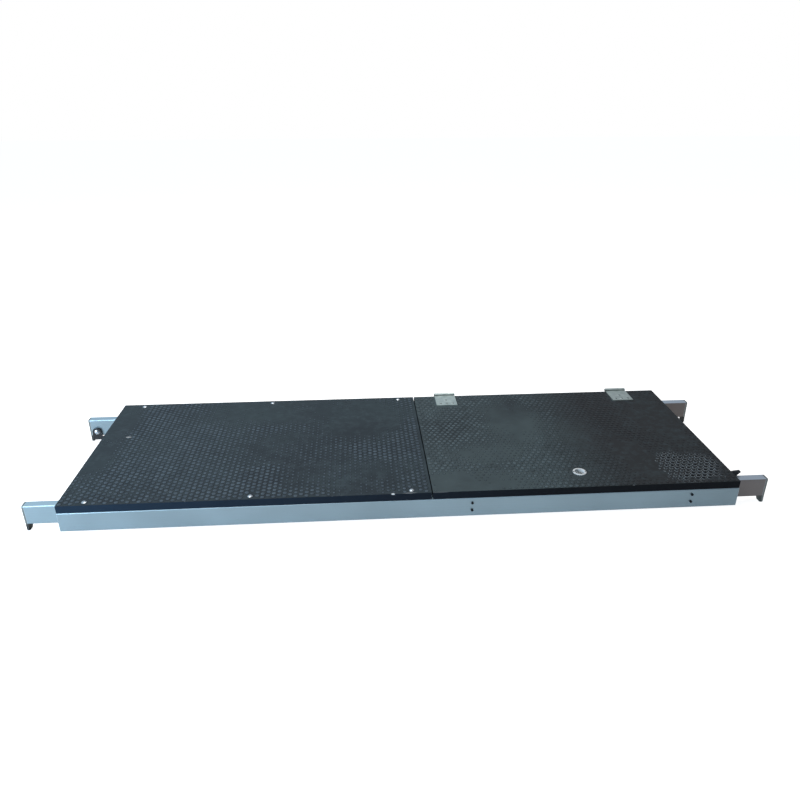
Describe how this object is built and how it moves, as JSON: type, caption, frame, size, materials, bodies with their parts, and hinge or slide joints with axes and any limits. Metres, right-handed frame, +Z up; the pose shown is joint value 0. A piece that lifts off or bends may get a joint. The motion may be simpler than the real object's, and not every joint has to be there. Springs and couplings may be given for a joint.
{
  "type": "scaffold platform with trapdoor",
  "caption": "Hook-on scaffold platform: dark anti-slip plywood deck on aluminium beams, with a hinged trapdoor, hook arms and pivoting wind locks.",
  "frame": {"origin": "under the middle of the deck in plan, at the height of the lowest faces of the hook lips, which it stands on", "axes": "+X along the deck from the fixed board to the trapdoor, +Y to the hinge side, +Z up"},
  "size_m": [1.986, 0.614, 0.106],
  "materials": {
    "extruded_aluminium": "mill-finish extrusion, satin",
    "hook_aluminium": "sawn and linished plate, satin",
    "filmed_plywood": "dark phenolic film with a pressed anti-slip mesh, semi-matt",
    "rivet_aluminium": "bright headed rivet",
    "blackened_steel": "black oxide, satin",
    "zinc_plated_steel": "bright zinc plate, satin",
    "pale_moulding": "moulded, pale grey, satin",
    "black_nylon": "glass-filled nylon, matt"
  },
  "bodies": {
    "frame": {"beam_front": "extruded_aluminium", "beam_rear": "extruded_aluminium", "end_member": "extruded_aluminium", "middle_member": "extruded_aluminium", "joint_member": "extruded_aluminium", "hatch_member_left": "extruded_aluminium", "hatch_member_right": "extruded_aluminium", "arm_front_left": "extruded_aluminium", "arm_rear_left": "extruded_aluminium", "arm_front_right": "extruded_aluminium", "arm_rear_right": "extruded_aluminium", "hook_front_left": "hook_aluminium", "hook_rear_left": "hook_aluminium", "hook_front_right": "hook_aluminium", "hook_rear_right": "hook_aluminium", "fixed_board": "filmed_plywood", "board_rivets": "rivet_aluminium", "member_screws_front": "blackened_steel", "member_screws_rear": "blackened_steel", "hinge_base_left": "zinc_plated_steel", "hinge_base_right": "zinc_plated_steel", "hinge_pins": "zinc_plated_steel", "wind_lock_rivets": "rivet_aluminium", "wind_lock_washers": "zinc_plated_steel"},
    "trapdoor": {"trapdoor_board": "filmed_plywood", "hinge_leaf_left": "zinc_plated_steel", "hinge_leaf_right": "zinc_plated_steel", "hinge_leaf_screws": "zinc_plated_steel", "finger_ring": "pale_moulding", "finger_ring_screws": "zinc_plated_steel"},
    "wind_lock_rear_left": {"wind_lock_rear_left": "black_nylon"},
    "wind_lock_front_right": {"wind_lock_front_right": "black_nylon"}
  },
  "joints": [
    {"name": "trapdoor_hinge", "type": "hinge", "parent": "frame", "child": "trapdoor", "pos_m": [0.466, 0.3055, 0.1005], "axis": [-1, 0, 0], "range_deg": [0, 180]},
    {"name": "wind_lock_rear_left_pivot", "type": "hinge", "parent": "frame", "child": "wind_lock_rear_left", "pos_m": [-0.97, 0.2311, 0.037], "axis": [0, -1, 0], "range_deg": [0, 270]},
    {"name": "wind_lock_front_right_pivot", "type": "hinge", "parent": "frame", "child": "wind_lock_front_right", "pos_m": [0.97, -0.2311, 0.037], "axis": [0, 1, 0], "range_deg": [-50, 220]}
  ]
}
